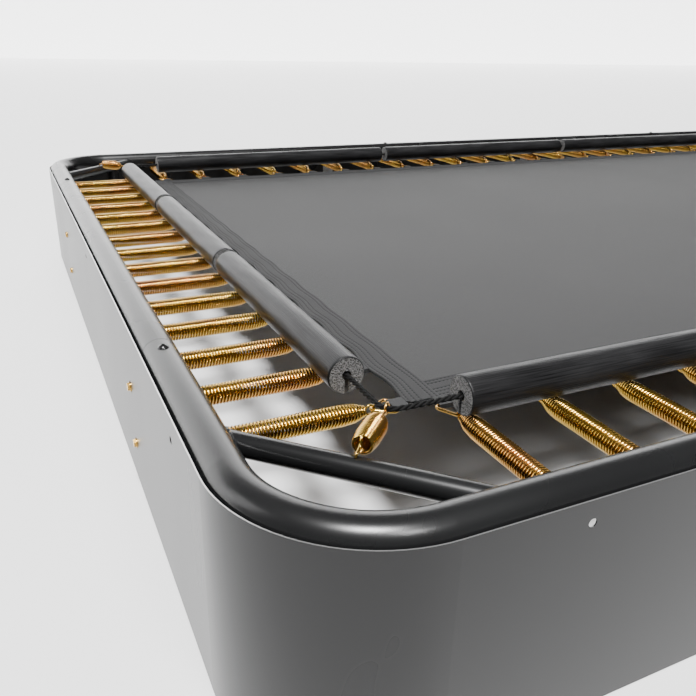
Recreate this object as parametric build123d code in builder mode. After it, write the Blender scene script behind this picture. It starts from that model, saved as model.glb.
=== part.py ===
"""Low rectangular trampoline with sheet walls, for standing over a pit.

The origin is on the floor under the middle of the bed, +X runs along the long
sides and +Z is up. All sizes are in millimetres.
"""

from build123d import *
from math import radians, sin, sqrt, tan
import os

# ---- driving dimensions -------------------------------------------------------

# rail
frame_length = 4000.0  # over the rails
frame_width = 2250.0
frame_height = 300.0  # floor to the top of the rails
rail_diameter = 50.0
rail_wall = 2.5
corner_bend = 155.0  # bend radius of the rail's centre line
end_leg = 480.0  # rail corner to the joint on an end
side_leg = 1280.0  # rail corner to the joint on a long side

# rail joints
sleeve_length = 160.0
sleeve_wall = 3.0
sleeve_clearance = 0.2  # radial, inside the rail
joint_gap = 0.8
screw_from_joint = 30.0
screw_shank = 8.0
screw_clearance = 0.2  # radial, in the rail and in the sleeve
screw_head = 15.0
screw_head_height = 5.0
screw_length = 18.0
screw_socket = 4.6
spot_face_depth = 1.3

# corner braces
brace_diameter = 28.0
brace_wall = 2.0
brace_reach = 255.0  # rail corner to the brace's end, along each rail
brace_drop = 5.0  # brace centre below the rail's centre

# posts and feet
post_diameter = 32.0
post_wall = 2.0
corner_post_reach = 185.0
foot_width = 46.0
foot_length = 70.0
foot_thickness = 4.0
foot_shift = 9.0  # feet stand a little inwards, clear of the wall's hem
end_post_gaps = (4, 9)  # posts stand midway between these springs and the next
side_post_gaps = (4, 10, 15, 21)

# sheet walls
wall_thickness = 1.5
wall_gap = 2.0  # between the rail and the sheet
wall_top_rise = 10.0  # the sheet's top edge above the rail's centre
wall_hem = 9.0
end_seam = 600.0  # rail corner to the seam on an end
side_seam = 1010.0
punch_diameter = 10.0
end_punch_drop = 23.0  # holes below the rail's centre
end_punch_reach = 290.0  # rail corner to the first hole
end_punch_count = 3
side_punch_drop = 17.0
side_punch_reach = 304.0
side_punch_count = 4
clip_width = 30.0
clip_height = 60.0
clip_thickness = 4.0
end_clip_reach = 330.0  # rail corner to the first clip
end_clip_count = 6
side_clip_reach = 370.0
side_clip_count = 12

# panel bolts
bolt_drops = (96.0, 196.0)  # below the rail's centre
bolt_shank = 8.0
bolt_head_flats = 12.0
bolt_head_height = 5.0
bolt_flange = 16.0
bolt_flange_height = 1.6
bolt_clearance = 0.2
nut_flats = 13.0
nut_height = 6.5
thread_clearance = 0.05
bolt_slot_width = 9.0
bolt_slot_height = 21.0
strip_width = 40.0
strip_thickness = 2.0
strip_margin = 25.0  # strip's ends from the floor and from the rail

# springs
end_spring_count = 15
side_spring_count = 27
end_first_spring = 276.0  # rail corner to the first spring
side_first_spring = 317.5
hook_drop = 3.0  # spring axis below the underside of the rail
wire_diameter = 3.4
coil_diameter = 29.0
coil_tip_diameter = 14.0
coil_taper = 32.0
coil_gap = 6.0  # from the side of the rail to the coil
coil_length = 181.0
corner_coil_start = 17.0  # from the brace's centre line
corner_coil_mouth = 24.0  # diameter of a corner spring at its open end
corner_coil_swell = 20.0  # run over which it widens from there
corner_tip_diameter = 9.0
corner_neck = 18.0  # straight wire between its coil and its loop
hook_hole_clearance = 0.8
hook_bend = 4.0
hook_tip_inside = 5.0  # how far a hook stands inside its tube
loop_radius = 6.5

# rings and tabs
ring_wire = 4.0
ring_length = 31.0  # apex to base bar, between wire centres
ring_bend = 6.0
ring_base_bend = 5.0
ring_half_angle = 28.0
ring_play = 0.3
tab_width = 23.0
tab_depth = 22.0
tab_lap = 20.0
tab_fold = 2.4  # webbing of a tab, below the bed
tab_bore_play = 0.2

# jumping bed
bed_thickness = 2.0
bed_corner_cut = 6.0
border_width = 50.0
border_thickness = 1.6

# foam tubes and their cord
foam_diameter = 52.0
foam_bore = 13.0
foam_slit = 5.0
foam_inset = 197.0  # rail centre line to the foam's axis
foam_lift = 1.0  # foam above the coils
foam_end = 300.0  # rail corner to the first tube's end face
foam_gap = 20.0
end_foam_count = 3
side_foam_count = 4
cord_diameter = 8.0
cord_bend = 20.0  # bend radius of the cord's centre line in the corner springs' loops
loop_play = 0.3  # between the cord and the loop that pulls it

# ---- values that follow from them ---------------------------------------------

rail_radius = rail_diameter / 2
rail_x = frame_length / 2 - rail_radius
rail_y = frame_width / 2 - rail_radius
rail_z = frame_height - rail_radius
spring_drop = rail_radius + hook_drop
spring_z = rail_z - spring_drop
coil_start = rail_radius + coil_gap
coil_end = coil_start + coil_length
foam_rise = foam_diameter / 2 + foam_lift + coil_diameter / 2 - spring_drop
brace_z = rail_z - brace_drop
wall_inside = rail_radius + wall_gap
wall_outside = wall_inside + wall_thickness
wall_height = rail_z + wall_top_rise
sleeve_radius = rail_radius - rail_wall - sleeve_clearance
loop_inside = loop_radius - wire_diameter / 2
ring_apex = coil_end + loop_radius + loop_inside - ring_wire / 2 - ring_play
ring_base = ring_apex + ring_length
bed_inset = ring_base - ring_wire + tab_depth  # rail centre line to the bed's edge
foam_z = rail_z + foam_rise
cord_middle = sqrt(2) * foam_inset + (sqrt(2) - 1) * cord_bend  # rail corner to the cord
corner_loop = cord_middle + cord_diameter / 2 + loop_play - loop_inside  # its centre
corner_coil_end = corner_loop - loop_radius - corner_neck - brace_reach / sqrt(2)
hook_hole = wire_diameter + 2 * hook_hole_clearance


def spread(first, count, half_span):
    """Even places along a side, symmetric about its middle."""
    reach = half_span - first
    return [-reach + 2 * reach * i / (count - 1) for i in range(count)]


end_spring_places = spread(end_first_spring, end_spring_count, rail_y)
side_spring_places = spread(side_first_spring, side_spring_count, rail_x)
end_joint_places = (end_leg - rail_y, rail_y - end_leg)
side_joint_places = (side_leg - rail_x, rail_x - side_leg)
end_seams = (end_seam - rail_y, rail_y - end_seam)
side_seams = (side_seam - rail_x, 0, rail_x - side_seam)
end_punches = spread(end_punch_reach, end_punch_count, rail_y)
side_punches = spread(side_punch_reach, side_punch_count, rail_x)


def between(places, index):
    """The place midway between one spring and the next."""
    return (places[index] + places[index + 1]) / 2


def save(piece, name):
    """Label a finished piece and write it to its own file."""
    piece.label = name
    export_step(piece, f"parts/{name}.step")
    print(name, round(piece.volume / 1000), "cm3,", len(piece.solids()), "solids")


def save_corners(piece, stem):
    """Write the front left piece and its images at the other corners."""
    save(piece, f"{stem}_front_left")
    save(mirror(piece, about=Plane.XZ), f"{stem}_back_left")
    save(mirror(piece, about=Plane.YZ), f"{stem}_front_right")
    save(piece.rotate(Axis.Z, 180), f"{stem}_back_right")


def save_ends(piece, stem):
    """Write the left piece and its mirror image on the right."""
    save(piece, f"{stem}_left")
    save(mirror(piece, about=Plane.YZ), f"{stem}_right")


def save_sides(piece, stem):
    """Write the front piece and its mirror image at the back."""
    save(piece, f"{stem}_front")
    save(mirror(piece, about=Plane.XZ), f"{stem}_back")


def all_sides(end_places, side_places, reach, height):
    """Places at one reach inwards of the rails: x, y, z and the outward direction."""
    spots = []
    for y in end_places:
        spots.append((reach - rail_x, y, height, -1, 0))
        spots.append((rail_x - reach, y, height, 1, 0))
    for x in side_places:
        spots.append((x, reach - rail_y, height, 0, -1))
        spots.append((x, rail_y - reach, height, 0, 1))
    return spots


def facing(spot):
    """A plane at a spot whose normal points out of the frame and whose x is up."""
    x, y, z, out_x, out_y = spot
    return Plane(origin=(x, y, z), x_dir=(0, 0, 1), z_dir=(out_x, out_y, 0))


os.makedirs("parts", exist_ok=True)

# ---- rails ---------------------------------------------------------------------

with BuildPart() as rail_envelope:
    with BuildLine() as rail_line:
        FilletPolyline(
            (-rail_x, 0, rail_z),
            (-rail_x, -rail_y, rail_z),
            (rail_x, -rail_y, rail_z),
            (rail_x, rail_y, rail_z),
            (-rail_x, rail_y, rail_z),
            (-rail_x, 1, rail_z),
            radius=corner_bend,
        )
    with BuildSketch(Plane(origin=rail_line.line @ 0, z_dir=rail_line.line % 0)):
        Circle(rail_radius)
    sweep()


def cut_hook_holes(points):
    """Drill the hook holes up through the underside of a tube or sleeve."""
    with Locations(*points):
        Cylinder(hook_hole / 2, rail_radius, mode=Mode.SUBTRACT)


def left_hook_points(low, high):
    """Hook holes in the left rail between two places along Y."""
    return [(-rail_x, y, rail_z - rail_radius) for y in end_spring_places if low < y < high]


def front_hook_points(low, high):
    """Hook holes in the front rail between two places along X."""
    return [(x, -rail_y, rail_z - rail_radius) for x in side_spring_places if low < x < high]


screw_places = [
    (-rail_x, end_leg - screw_from_joint - rail_y),
    (side_leg - screw_from_joint - rail_x, -rail_y),
]

with BuildPart() as corner_rail:
    with BuildLine() as corner_line:
        FilletPolyline(
            (-rail_x, end_leg - rail_y, rail_z),
            (-rail_x, -rail_y, rail_z),
            (side_leg - rail_x, -rail_y, rail_z),
            radius=corner_bend,
        )
    with BuildSketch(Plane(origin=corner_line.line @ 0, z_dir=corner_line.line % 0)):
        Circle(rail_radius)
        Circle(rail_radius - rail_wall, mode=Mode.SUBTRACT)
    sweep()
    cut_hook_holes(left_hook_points(-rail_y, end_leg - rail_y + hook_hole))
    cut_hook_holes(front_hook_points(-rail_x, side_leg - rail_x + hook_hole))
    with Locations(*[(x, y, frame_height) for x, y in screw_places]):
        Cylinder(screw_shank / 2 + screw_clearance, rail_radius, mode=Mode.SUBTRACT)
        Cylinder(screw_head / 2 + 0.5, 2 * spot_face_depth, mode=Mode.SUBTRACT)
save_corners(corner_rail.part, "corner_rail")

with BuildPart() as end_rail:
    end_rail_start = end_joint_places[0] + joint_gap
    with BuildSketch(Plane(origin=(-rail_x, end_rail_start, rail_z), z_dir=(0, 1, 0))):
        Circle(rail_radius)
        Circle(rail_radius - rail_wall, mode=Mode.SUBTRACT)
    extrude(amount=-2 * end_rail_start)
    cut_hook_holes(left_hook_points(end_joint_places[0] - hook_hole, end_joint_places[1] + hook_hole))
save_ends(end_rail.part, "end_rail")

with BuildPart() as side_rail:
    side_rail_start = side_joint_places[0] + joint_gap
    with BuildSketch(Plane(origin=(side_rail_start, -rail_y, rail_z), z_dir=(1, 0, 0))):
        Circle(rail_radius)
        Circle(rail_radius - rail_wall, mode=Mode.SUBTRACT)
    extrude(amount=-2 * side_rail_start)
    cut_hook_holes(front_hook_points(side_joint_places[0] - hook_hole, side_joint_places[1] + hook_hole))
save_sides(side_rail.part, "side_rail")

# ---- sleeves inside the rail joints, and their screws ---------------------------

with BuildPart() as rail_sleeves:
    for joint_plane in (
        Plane(origin=(-rail_x, end_joint_places[0] - sleeve_length / 2, rail_z), z_dir=(0, 1, 0)),
        Plane(origin=(side_joint_places[0] - sleeve_length / 2, -rail_y, rail_z), z_dir=(1, 0, 0)),
    ):
        with BuildSketch(joint_plane):
            Circle(sleeve_radius)
            Circle(sleeve_radius - sleeve_wall, mode=Mode.SUBTRACT)
        extrude(amount=sleeve_length)
    cut_hook_holes(left_hook_points(-rail_y, rail_y) + front_hook_points(-rail_x, rail_x))
    with Locations(*[(x, y, frame_height) for x, y in screw_places]):
        Cylinder(screw_shank / 2 + screw_clearance, rail_radius, mode=Mode.SUBTRACT)
    mirror(about=Plane.XZ)
    mirror(about=Plane.YZ)
save(rail_sleeves.part, "rail_sleeves")

screw_seat = frame_height - spot_face_depth

with BuildPart() as rail_screws:
    for screw_x, screw_y in screw_places:
        with BuildSketch(Plane(origin=(screw_x, screw_y, screw_seat), x_dir=(1, 0, 0), z_dir=(0, -1, 0))):
            with BuildLine():
                Line((0, -screw_length), (0, screw_head_height))
                ThreePointArc(
                    (0, screw_head_height),
                    (screw_head * 0.36, screw_head_height * 0.72),
                    (screw_head / 2, 1.0),
                )
                Polyline(
                    (screw_head / 2, 1.0),
                    (screw_head / 2, 0),
                    (screw_shank / 2, 0),
                    (screw_shank / 2, 1 - screw_length),
                    (screw_shank / 2 - 1, -screw_length),
                    (0, -screw_length),
                )
            make_face()
        revolve(axis=Axis((screw_x, screw_y, 0), (0, 0, 1)))
    with Locations(*[(x, y, screw_seat + screw_head_height) for x, y in screw_places]):
        Cylinder(screw_socket / 2, 5, mode=Mode.SUBTRACT)
    mirror(about=Plane.XZ)
    mirror(about=Plane.YZ)
save(rail_screws.part, "rail_screws")

# ---- corner braces -------------------------------------------------------------

brace_start = Vector(-rail_x, brace_reach - rail_y, brace_z)
brace_end = Vector(brace_reach - rail_x, -rail_y, brace_z)
brace_middle = (brace_start + brace_end) / 2
brace_length = (brace_end - brace_start).length

with BuildPart() as corner_brace:
    with BuildSketch(Plane(origin=brace_start, z_dir=brace_end - brace_start)):
        Circle(brace_diameter / 2)
        Circle(brace_diameter / 2 - brace_wall, mode=Mode.SUBTRACT)
    extrude(amount=brace_length)
    with Locations((brace_middle.X, brace_middle.Y, brace_z + brace_diameter / 2)):
        Cylinder(hook_hole / 2, brace_diameter / 2, mode=Mode.SUBTRACT)
    add(rail_envelope.part, mode=Mode.SUBTRACT)
save_corners(corner_brace.part, "corner_brace")

# ---- posts and feet ------------------------------------------------------------

corner_post_spots = [
    (-rail_x, corner_post_reach - rail_y),
    (corner_post_reach - rail_x, -rail_y),
]
end_post_spots = [(-rail_x, between(end_spring_places, gap)) for gap in end_post_gaps]
side_post_spots = [(between(side_spring_places, gap), -rail_y) for gap in side_post_gaps]


def posts(spots):
    """Tubes from the feet up to the underside of the rail at each spot."""
    with BuildPart() as tubes:
        with BuildSketch(Plane.XY.offset(foot_thickness)):
            with Locations(*spots):
                Circle(post_diameter / 2)
                Circle(post_diameter / 2 - post_wall, mode=Mode.SUBTRACT)
        extrude(amount=rail_z - foot_thickness)
        add(rail_envelope.part, mode=Mode.SUBTRACT)
    return tubes.part


with BuildPart() as corner_posts:
    add(posts(corner_post_spots))
    mirror(about=Plane.XZ)
    mirror(about=Plane.YZ)
save(corner_posts.part, "corner_posts")

with BuildPart() as end_posts:
    add(posts(end_post_spots))
    mirror(about=Plane.YZ)
save(end_posts.part, "end_posts")

with BuildPart() as side_posts:
    add(posts(side_post_spots))
    mirror(about=Plane.XZ)
save(side_posts.part, "side_posts")


def is_on_end(spot):
    """True for a post under an end rail, False for one under a side rail."""
    return abs(spot[0] + rail_x) < 0.001


def foot_plates(spots):
    """Plates under the posts, shifted inwards and lying along the rail."""
    with BuildPart() as plates:
        for x, y in spots:
            if is_on_end((x, y)):
                centre = (x + foot_shift, y)
                size = (foot_width, foot_length)
            else:
                centre = (x, y + foot_shift)
                size = (foot_length, foot_width)
            with BuildSketch():
                with Locations(centre):
                    RectangleRounded(*size, 6)
            extrude(amount=foot_thickness)
    return plates.part


with BuildPart() as post_feet:
    add(foot_plates(corner_post_spots))
    mirror(about=Plane.XZ)
    mirror(about=Plane.YZ)
    with BuildPart(mode=Mode.PRIVATE) as end_feet:
        add(foot_plates(end_post_spots))
        mirror(about=Plane.YZ)
    with BuildPart(mode=Mode.PRIVATE) as side_feet:
        add(foot_plates(side_post_spots))
        mirror(about=Plane.XZ)
    add(end_feet.part)
    add(side_feet.part)
save(post_feet.part, "post_feet")

# ---- sheet walls ---------------------------------------------------------------


def sheet_cutters(slot_spots, punch_spots):
    """Upright slots, half in each of the two sheets at a seam, and punched holes."""
    with BuildPart() as cutters:
        for spot in slot_spots:
            with BuildSketch(facing(spot)):
                SlotOverall(bolt_slot_height, bolt_slot_width)
            extrude(amount=wall_outside, both=True)
        for spot in punch_spots:
            with BuildSketch(facing(spot)):
                Circle(punch_diameter / 2)
            extrude(amount=wall_outside, both=True)
    return cutters.part


bolt_heights = [rail_z - drop for drop in bolt_drops]


def seam_spots(end_places, side_places, reach=0.0):
    """Bolt places on the given seams at every bolt height."""
    return [spot for z in bolt_heights for spot in all_sides(end_places, side_places, reach, z)]


def punch_spots(end_places, side_places):
    """Punched holes on the rail line: those of the ends sit lower than those of the sides."""
    ends = all_sides(end_places, (), 0, rail_z - end_punch_drop)
    return ends + all_sides((), side_places, 0, rail_z - side_punch_drop)


def corner_band(inside, outside, height):
    """A band along the corner's plan between two offsets outside the rail line."""
    with BuildPart() as band:
        with BuildSketch():
            with BuildLine():
                edges = []
                for reach in (inside, outside):
                    edges.append(
                        FilletPolyline(
                            (-rail_x - reach, end_seam - rail_y),
                            (-rail_x - reach, -rail_y - reach),
                            (side_seam - rail_x, -rail_y - reach),
                            radius=corner_bend + reach,
                        )
                    )
                Line(edges[0] @ 0, edges[1] @ 0)
                Line(edges[0] @ 1, edges[1] @ 1)
            make_face()
        extrude(amount=height)
    return band.part


with BuildPart() as wall_corner:
    add(corner_band(wall_inside, wall_outside, wall_height))
    add(corner_band(wall_inside - wall_hem, wall_outside, wall_thickness))
    corner_punches = punch_spots(end_punches[:1], side_punches[:1])
    add(sheet_cutters(seam_spots(end_seams[:1], side_seams[:1]), corner_punches), mode=Mode.SUBTRACT)
save_corners(wall_corner.part, "wall_corner")

with BuildPart() as wall_end:
    with BuildSketch():
        with Locations((-rail_x - (wall_inside + wall_outside) / 2, 0)):
            Rectangle(wall_thickness, end_seams[1] - end_seams[0])
    extrude(amount=wall_height)
    with BuildSketch():
        with Locations((-rail_x - wall_outside + (wall_hem + wall_thickness) / 2, 0)):
            Rectangle(wall_hem + wall_thickness, end_seams[1] - end_seams[0])
    extrude(amount=wall_thickness)
    middle_punches = punch_spots(end_punches[1:-1], ())
    add(sheet_cutters(seam_spots(end_seams, ()), middle_punches), mode=Mode.SUBTRACT)
save_ends(wall_end.part, "wall_end")

side_sheet_length = side_seams[1] - side_seams[0]
side_sheet_punches = [x for x in side_punches if side_seams[0] < x < side_seams[1]]

with BuildPart() as wall_side:
    with BuildSketch():
        with Locations((-side_sheet_length / 2, -rail_y - (wall_inside + wall_outside) / 2)):
            Rectangle(side_sheet_length, wall_thickness)
    extrude(amount=wall_height)
    with BuildSketch():
        with Locations((-side_sheet_length / 2, (wall_hem + wall_thickness) / 2 - rail_y - wall_outside)):
            Rectangle(side_sheet_length, wall_hem + wall_thickness)
    extrude(amount=wall_thickness)
    side_cutters = sheet_cutters(seam_spots((), side_seams), punch_spots((), side_sheet_punches))
    add(side_cutters, mode=Mode.SUBTRACT)
save_corners(wall_side.part, "wall_side")

# ---- strips, bolts and nuts of the seams ----------------------------------------

strip_low = strip_margin
strip_high = rail_z - rail_radius - strip_margin / 2
seam_bases = all_sides(end_seams, side_seams, -wall_inside, 0)

with BuildPart() as joint_strips:
    for x, y, z, out_x, out_y in seam_bases:
        with BuildSketch(Plane(origin=(x, y, strip_low), x_dir=(-out_x, -out_y, 0), z_dir=(0, 0, 1))):
            Rectangle(strip_thickness, strip_width, align=(Align.MIN, Align.CENTER))
        extrude(amount=strip_high - strip_low)
    for spot in seam_spots(end_seams, side_seams):
        with BuildSketch(facing(spot)):
            Circle(bolt_shank / 2 + bolt_clearance)
        extrude(amount=wall_inside + 1, mode=Mode.SUBTRACT)
save(joint_strips.part, "joint_strips")

bolt_spots = seam_spots(end_seams, side_seams, -wall_outside)
nut_spots = seam_spots(end_seams, side_seams, strip_thickness - wall_inside)
hexagon_ratio = 2 / sqrt(3)
bolt_reach = wall_thickness + strip_thickness + nut_height + 2

with BuildPart() as panel_bolts:
    for spot in bolt_spots:
        with BuildSketch(facing(spot)):
            Circle(bolt_flange / 2)
        extrude(amount=bolt_flange_height)
        with BuildSketch(facing(spot)):
            RegularPolygon(bolt_head_flats * hexagon_ratio / 2, 6)
        extrude(amount=bolt_head_height)
        with BuildSketch(facing(spot)):
            Circle(bolt_shank / 2)
        extrude(amount=-bolt_reach)
save(panel_bolts.part, "panel_bolts")

with BuildPart() as panel_nuts:
    for spot in nut_spots:
        with BuildSketch(facing(spot)):
            RegularPolygon(nut_flats * hexagon_ratio / 2, 6)
            Circle(bolt_shank / 2 + thread_clearance, mode=Mode.SUBTRACT)
        extrude(amount=-nut_height)
save(panel_nuts.part, "panel_nuts")

# ---- clips that hold the walls on the rail ---------------------------------------

end_clips = spread(end_clip_reach, end_clip_count, rail_y)
side_clips = spread(side_clip_reach, side_clip_count, rail_x)
clip_top = rail_z - rail_radius / 3

with BuildPart() as wall_clips:
    for x, y, z, out_x, out_y in all_sides(end_clips, side_clips, -wall_inside, 0):
        with BuildSketch(Plane(origin=(x, y, clip_top), x_dir=(-out_x, -out_y, 0), z_dir=(0, 0, -1))):
            Rectangle(clip_thickness, clip_width, align=(Align.MIN, Align.CENTER))
        extrude(amount=clip_height)
    add(rail_envelope.part, mode=Mode.SUBTRACT)
save(wall_clips.part, "wall_clips")

# ---- springs -------------------------------------------------------------------


def spring(outline, hook_end, neck):
    """A spring's outer shape along +X, from a hook at the origin to its end loop.

    The outline lists the coil's places along X and its outside radius at each.
    hook_end is the height of the hook's tip from the spring's axis, and neck is
    the run of straight wire between the coil and the loop.
    """
    start, start_radius = outline[0]
    end = outline[-1][0]
    inner = [(x, radius - wire_diameter) for x, radius in outline]
    with BuildPart() as coil:
        with BuildSketch(Plane.XZ):
            with BuildLine():
                Polyline(*outline, *inner[::-1], close=True)
            make_face()
        revolve(axis=Axis.X)
        with Locations(Location((end + neck + loop_radius, 0, 0), (90, 0, 0))):
            Torus(loop_radius, wire_diameter / 2)
        if neck > 0:
            with BuildSketch(Plane.YZ.offset(end - hook_bend)):
                Circle(wire_diameter / 2)
            extrude(amount=hook_bend + neck + wire_diameter / 2)
        with BuildLine() as hook_line:
            FilletPolyline(
                (start + wire_diameter / 2, 0, start_radius - wire_diameter / 2),
                (start - wire_diameter, 0, 0),
                (0, 0, 0),
                (0, 0, hook_end),
                radius=hook_bend,
            )
        with BuildSketch(Plane(origin=hook_line.line @ 0, z_dir=hook_line.line % 0)):
            Circle(wire_diameter / 2)
        sweep()
    return coil.part


def row(piece, places):
    """Copies of a piece at several places, as one node of separate solids."""
    with BuildPart() as copies:
        with Locations(*places):
            add(piece)
    return copies.part


coil_radius = coil_diameter / 2
tip_radius = coil_tip_diameter / 2
rail_spring = spring(
    [(coil_start, coil_radius), (coil_end - coil_taper, coil_radius), (coil_end, tip_radius)],
    hook_drop + rail_wall + sleeve_wall + hook_tip_inside,
    0,
)
corner_spring = spring(
    [
        (corner_coil_start, corner_coil_mouth / 2),
        (corner_coil_start + corner_coil_swell, coil_radius),
        (corner_coil_end - corner_coil_swell, coil_radius),
        (corner_coil_end, corner_tip_diameter / 2),
    ],
    brace_diameter / 2 - foam_rise - brace_drop - brace_wall - hook_tip_inside,
    corner_neck,
)

left_spring_places = [Location((-rail_x, y, spring_z)) for y in end_spring_places]
front_spring_places = [Location((x, -rail_y, spring_z), (0, 0, 90)) for x in side_spring_places]

save_ends(row(rail_spring, left_spring_places), "end_springs")
save_sides(row(rail_spring, front_spring_places), "side_springs")

with BuildPart() as corner_springs:
    with Locations(Location((brace_middle.X, brace_middle.Y, foam_z), (0, 0, 45))):
        add(corner_spring)
    mirror(about=Plane.XZ)
    mirror(about=Plane.YZ)
save(corner_springs.part, "corner_springs")

# ---- rings between the springs and the bed ---------------------------------------

apex_offset = ring_bend * (1 / sin(radians(ring_half_angle)) - 1)
ring_half_width = (ring_length + apex_offset) * tan(radians(ring_half_angle))


def ring(apex):
    """A closed three-cornered wire ring lying flat, its apex towards the spring."""
    with BuildPart() as wire:
        with BuildLine() as ring_line:
            FilletPolyline(
                (apex + ring_length, 0),
                (apex + ring_length, ring_half_width),
                (apex - apex_offset, 0),
                (apex + ring_length, -ring_half_width),
                (apex + ring_length, -0.01),
                radius=(ring_base_bend, ring_bend, ring_base_bend),
            )
            Line(ring_line.line @ 1, ring_line.line @ 0)
        with BuildSketch(Plane(origin=ring_line.line @ 0, z_dir=ring_line.line % 0)):
            Circle(ring_wire / 2)
        sweep()
    return wire.part


def ring_tab(base):
    """A webbing loop round a ring's base bar that runs on under the bed's edge."""
    with BuildPart() as loop:
        with BuildSketch(Plane.XZ):
            with BuildLine():
                Polyline(
                    (base - ring_wire, -bed_thickness / 2 - tab_fold),
                    (base - ring_wire, ring_wire / 2 + 1.2),
                    (base - ring_wire + tab_depth, ring_wire / 2 + 1.2),
                    (base - ring_wire + tab_depth, -bed_thickness / 2),
                    (base - ring_wire + tab_depth + tab_lap, -bed_thickness / 2),
                    (base - ring_wire + tab_depth + tab_lap, -bed_thickness / 2 - tab_fold),
                    close=True,
                )
            make_face()
            with Locations((base, 0)):
                Circle(ring_wire / 2 + tab_bore_play, mode=Mode.SUBTRACT)
        extrude(amount=tab_width / 2, both=True)
    return loop.part


rail_ring = ring(ring_apex)
rail_tab = ring_tab(ring_base)
save_ends(row(rail_ring, left_spring_places), "end_rings")
save_sides(row(rail_ring, front_spring_places), "side_rings")
save_ends(row(rail_tab, left_spring_places), "end_tabs")
save_sides(row(rail_tab, front_spring_places), "side_tabs")

# ---- jumping bed and its border ----------------------------------------------------

bed_half_length = rail_x - bed_inset
bed_half_width = rail_y - bed_inset

with BuildPart() as bed:
    with BuildSketch(Plane.XY.offset(spring_z - bed_thickness / 2)) as bed_outline:
        Rectangle(2 * bed_half_length, 2 * bed_half_width)
        chamfer(bed_outline.vertices(), bed_corner_cut)
    extrude(amount=bed_thickness)
save(bed.part, "bed")

border_middle = border_width / 2


def border_strip(centre, size):
    """A flat webbing strip on the bed, trimmed by the bed's outline."""
    with BuildPart() as strip:
        with BuildSketch(Plane.XY.offset(spring_z + bed_thickness / 2)) as outline:
            Rectangle(2 * bed_half_length, 2 * bed_half_width)
            chamfer(outline.vertices(), bed_corner_cut)
            with Locations(centre):
                Rectangle(*size, mode=Mode.INTERSECT)
        extrude(amount=border_thickness)
    return strip.part


end_border_length = 2 * (bed_half_width - border_width)
save_ends(
    border_strip((border_middle - bed_half_length, 0), (border_width, end_border_length)), "end_border"
)
save_sides(
    border_strip((0, border_middle - bed_half_width), (2 * bed_half_length, border_width)), "side_border"
)

# ---- foam tubes --------------------------------------------------------------------


def foam_row(plane, half_span, count):
    """A row of slit foam tubes along a plane's normal, centred on the plane."""
    run = 2 * (half_span - foam_end)
    tube = (run - foam_gap * (count - 1)) / count
    with BuildPart() as tubes:
        for i in range(count):
            with BuildSketch(plane.offset(-run / 2 + i * (tube + foam_gap))):
                Circle(foam_diameter / 2)
                Circle(foam_bore / 2, mode=Mode.SUBTRACT)
                Rectangle(foam_slit, foam_diameter, align=(Align.CENTER, Align.MAX), mode=Mode.SUBTRACT)
            extrude(amount=tube)
    return tubes.part


left_foam_plane = Plane(origin=(foam_inset - rail_x, 0, foam_z), x_dir=(-1, 0, 0), z_dir=(0, 1, 0))
front_foam_plane = Plane(origin=(0, foam_inset - rail_y, foam_z), x_dir=(0, 1, 0), z_dir=(1, 0, 0))
save_ends(foam_row(left_foam_plane, rail_y, end_foam_count), "end_foam")
save_sides(foam_row(front_foam_plane, rail_x, side_foam_count), "side_foam")

# ---- cord through the foam tubes and the corner springs' loops ------------------------

cord_x = rail_x - foam_inset
cord_y = rail_y - foam_inset
print("cord bend radius", cord_bend, "at each of its four corners")

with BuildPart() as foam_cord:
    with BuildLine() as cord_line:
        FilletPolyline(
            (-cord_x, 1, foam_z),
            (-cord_x, -cord_y, foam_z),
            (cord_x, -cord_y, foam_z),
            (cord_x, cord_y, foam_z),
            (-cord_x, cord_y, foam_z),
            (-cord_x, 2, foam_z),
            radius=cord_bend,
        )
        Line(cord_line.line @ 1, cord_line.line @ 0)
    with BuildSketch(Plane(origin=cord_line.line @ 0, z_dir=cord_line.line % 0)):
        Circle(cord_diameter / 2)
    sweep()
save(foam_cord.part, "foam_cord")
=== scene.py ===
"""Low rectangular trampoline: wound springs, woven bed, stitched border, foam tubes and rope.

The origin is on the floor under the middle of the bed, +X runs along the long sides and
+Z is up. Everything is in metres.
"""

import logging
import math
from dataclasses import dataclass, field
from enum import Enum

import bpy
import numpy as np
from mathutils import Matrix, Vector


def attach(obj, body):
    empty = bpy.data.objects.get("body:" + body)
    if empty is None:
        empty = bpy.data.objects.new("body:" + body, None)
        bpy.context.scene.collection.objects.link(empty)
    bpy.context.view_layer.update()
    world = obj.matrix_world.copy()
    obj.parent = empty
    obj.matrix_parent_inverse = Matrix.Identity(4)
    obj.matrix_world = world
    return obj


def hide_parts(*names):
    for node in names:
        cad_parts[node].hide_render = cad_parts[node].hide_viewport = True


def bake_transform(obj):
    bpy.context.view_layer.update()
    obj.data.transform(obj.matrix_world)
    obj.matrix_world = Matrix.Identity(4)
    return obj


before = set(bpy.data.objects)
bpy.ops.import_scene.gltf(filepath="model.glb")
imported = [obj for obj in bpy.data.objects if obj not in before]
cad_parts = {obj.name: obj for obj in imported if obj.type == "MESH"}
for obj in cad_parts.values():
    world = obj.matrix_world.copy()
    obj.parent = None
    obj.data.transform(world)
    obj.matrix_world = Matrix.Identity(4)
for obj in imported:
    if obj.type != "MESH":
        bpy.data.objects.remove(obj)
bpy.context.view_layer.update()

LOG = logging.getLogger("trampoline")
TAU = 2.0 * math.pi
MM = 0.001


# ---- shader nodes -----------------------------------------------------------------------


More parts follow.
